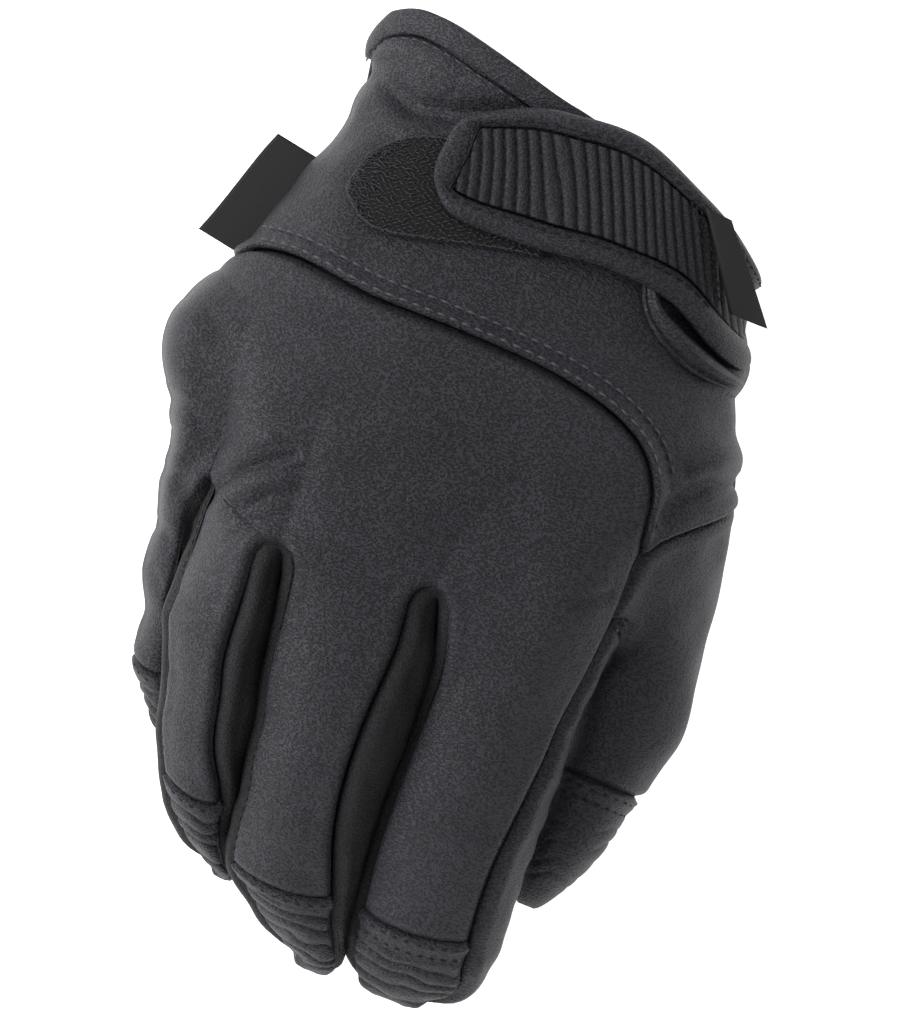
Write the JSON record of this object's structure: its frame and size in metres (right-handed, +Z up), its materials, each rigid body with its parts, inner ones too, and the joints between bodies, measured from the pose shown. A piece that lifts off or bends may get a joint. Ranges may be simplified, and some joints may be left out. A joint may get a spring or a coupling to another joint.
{
  "type": "needlestick-resistant work glove",
  "caption": "Right-hand leather work glove with a hook-and-loop wrist strap, sewn side strips between the fingers and ribbed fingertip caps, lying palm down",
  "frame": {"origin": "middle of the flat underside of the palm heel, on the surface it lies on", "axes": "+X to the thumb side, +Y to the wrist, +Z up through the back of the hand"},
  "size_m": [0.1317, 0.1936, 0.0529],
  "materials": {
    "glove_leather": "soft grained leather, low sheen",
    "palm_leather": "soft grained leather, matte",
    "loop_fuzz": "looped pile",
    "ribbed_fabric": "ribbed, moulded",
    "tag_weave": "woven"
  },
  "bodies": {
    "root": {"cuff_hem": "glove_leather", "wrist_back": "glove_leather", "wrist_palm": "palm_leather", "back_panel": "glove_leather", "palm_panel": "palm_leather", "fourchette_little_ring": "glove_leather", "fourchette_ring_middle": "glove_leather", "fourchette_middle_index": "glove_leather", "index_side": "glove_leather", "little_tip": "glove_leather", "ring_tip": "glove_leather", "middle_tip": "glove_leather", "index_tip": "glove_leather", "thumb_panel": "glove_leather", "thumb_tip": "glove_leather", "loop_pad": "loop_fuzz", "strap_binding": "glove_leather", "strap_insert": "ribbed_fabric", "strap_gusset": "glove_leather", "strap_tag": "tag_weave", "side_tag": "tag_weave"}
  },
  "joints": []
}
